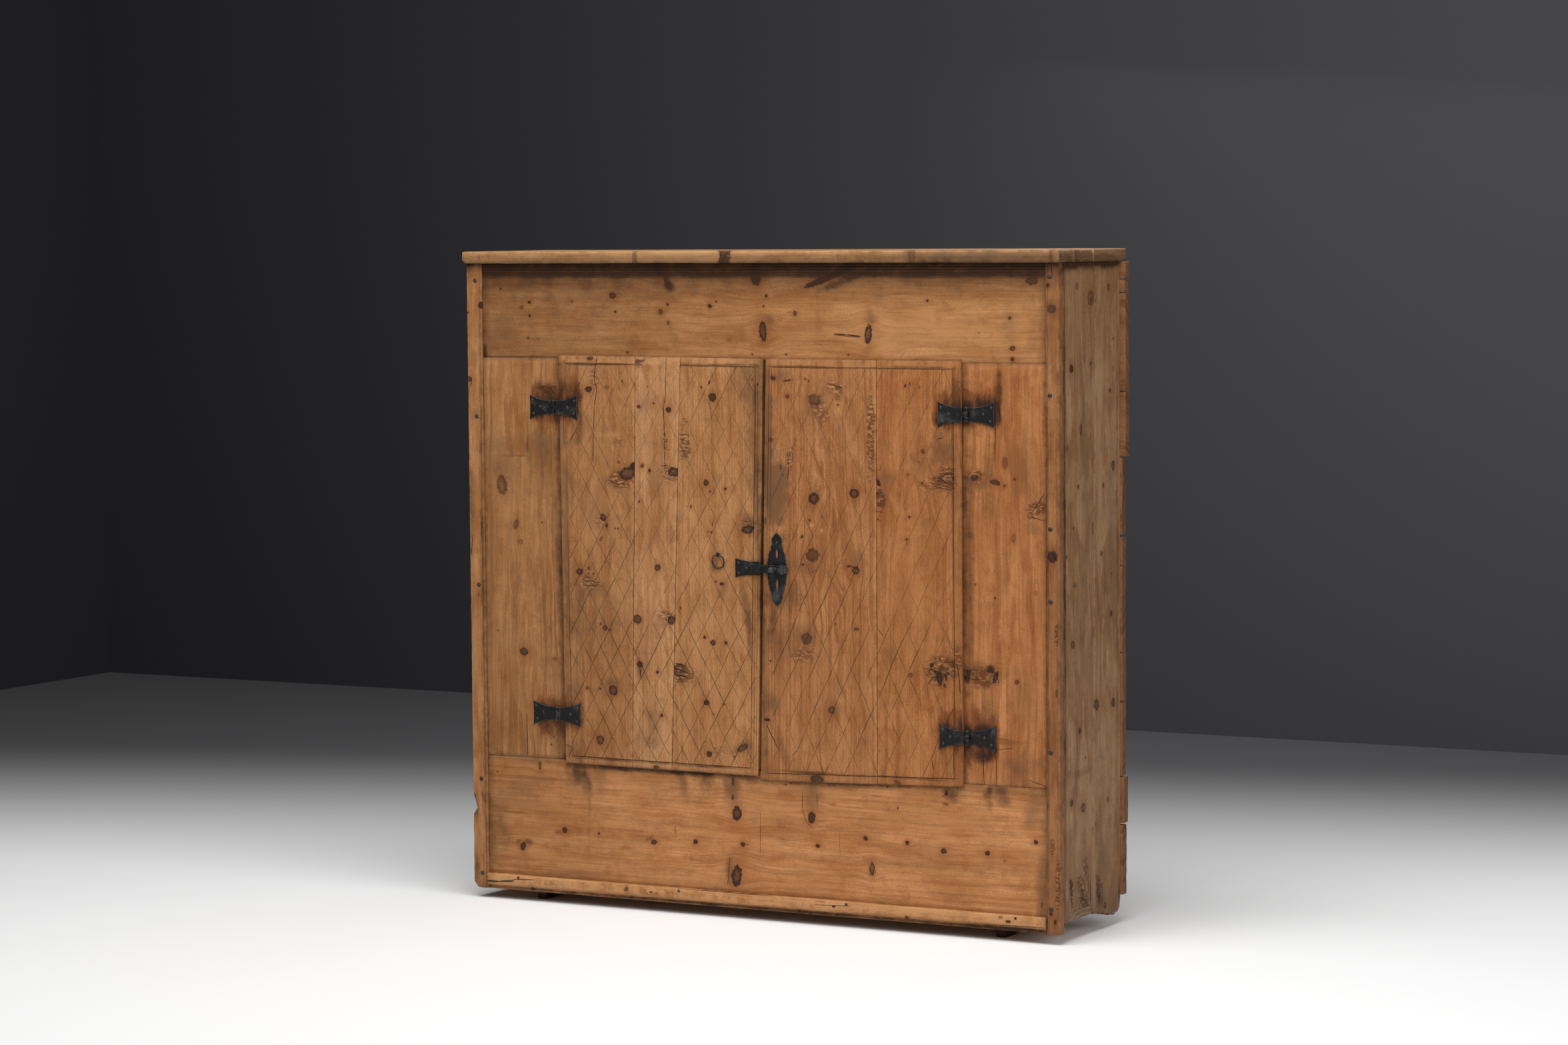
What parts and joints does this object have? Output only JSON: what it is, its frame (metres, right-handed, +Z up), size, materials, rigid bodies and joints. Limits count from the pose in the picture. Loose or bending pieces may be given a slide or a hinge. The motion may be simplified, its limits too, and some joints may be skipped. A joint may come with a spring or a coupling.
{
  "type": "two-door cupboard",
  "caption": "Low rustic pine cupboard nailed from old boards, with two lapped plank doors on butterfly hinges, a sliding iron latch and shelves.",
  "frame": {"origin": "middle of the cupboard's overall footprint, on the ground", "axes": "+X to the cupboard's right as seen from the front, +Y to the back, +Z up; the doors face -Y"},
  "size_m": [1.336, 0.3332, 1.314],
  "materials": {
    "front_pine": "old honey-brown pine, waxed and worn, with knots, cracks and dark stains",
    "batten_pine": "old honey-brown pine, worn along the edges",
    "side_pine": "weathered grey-brown pine with long straight grain",
    "top_pine": "pale worn pine with rubbed edges",
    "back_pine": "rough-sawn brown pine",
    "inner_pine": "plain unfinished pine, dusty",
    "black_iron": "hand-forged iron, blackened, worn brighter on the edges",
    "nail_iron": "hand-forged iron nails, dull and dark"
  },
  "bodies": {
    "case": {"back_board_01": "back_pine", "back_board_02": "back_pine", "back_board_03": "back_pine", "back_board_04": "back_pine", "back_board_05": "back_pine", "back_board_06": "back_pine", "back_board_07": "back_pine", "back_board_08": "back_pine", "back_board_09": "back_pine", "back_board_10": "back_pine", "back_board_11": "back_pine", "back_nails": "nail_iron", "base_moulding": "front_pine", "case_nails": "nail_iron", "floor_front_board": "inner_pine", "floor_rear_board": "inner_pine", "frieze_board": "front_pine", "hinge_pins": "black_iron", "left_bearer": "inner_pine", "left_face_batten": "batten_pine", "left_lower_hinge_case_leaf": "black_iron", "left_side_front_plank": "side_pine", "left_side_rear_plank": "side_pine", "left_stile": "front_pine", "left_upper_hinge_case_leaf": "black_iron", "lower_rail": "front_pine", "lower_shelf": "inner_pine", "right_bearer": "inner_pine", "right_face_batten": "batten_pine", "right_lower_hinge_case_leaf": "black_iron", "right_side_front_plank": "side_pine", "right_side_rear_plank": "side_pine", "right_stile": "front_pine", "right_upper_hinge_case_leaf": "black_iron", "shelf_cleats": "inner_pine", "top_front_board": "top_pine", "top_rear_board": "top_pine", "upper_shelf": "inner_pine"},
    "left_door": {"left_door_ledges": "inner_pine", "left_door_nails": "nail_iron", "left_door_plank_1": "front_pine", "left_door_plank_2": "front_pine", "left_door_plank_3": "front_pine", "left_lower_hinge_door_leaf": "black_iron", "left_upper_hinge_door_leaf": "black_iron", "keeper_plate": "black_iron", "keeper_strap": "black_iron", "ring_eye": "black_iron"},
    "right_door": {"right_door_ledges": "inner_pine", "right_door_nails": "nail_iron", "right_door_plank_1": "front_pine", "right_door_plank_2": "front_pine", "right_lower_hinge_door_leaf": "black_iron", "right_upper_hinge_door_leaf": "black_iron", "latch_plate": "black_iron", "latch_staples": "black_iron"},
    "bolt": {"latch_bolt": "black_iron", "bolt_knob": "black_iron"},
    "ring": {"ring_pull": "black_iron"}
  },
  "joints": [
    {"name": "left_door_swing", "type": "hinge", "parent": "case", "child": "left_door", "pos_m": [-0.453, -0.13635, 0.694], "axis": [0, 0, -1], "range_deg": [0, 150]},
    {"name": "right_door_swing", "type": "hinge", "parent": "case", "child": "right_door", "pos_m": [0.463, -0.13635, 0.694], "axis": [0, 0, 1], "range_deg": [0, 150]},
    {"name": "bolt_slide", "type": "slide", "parent": "right_door", "child": "bolt", "axis": [-1, 0, 0], "range_m": [-0.009, 0.009]},
    {"name": "ring_swing", "type": "hinge", "parent": "left_door", "child": "ring", "pos_m": [-0.07502, -0.14475, 0.71905], "axis": [-1, 0, 0], "range_deg": [0, 150]}
  ]
}
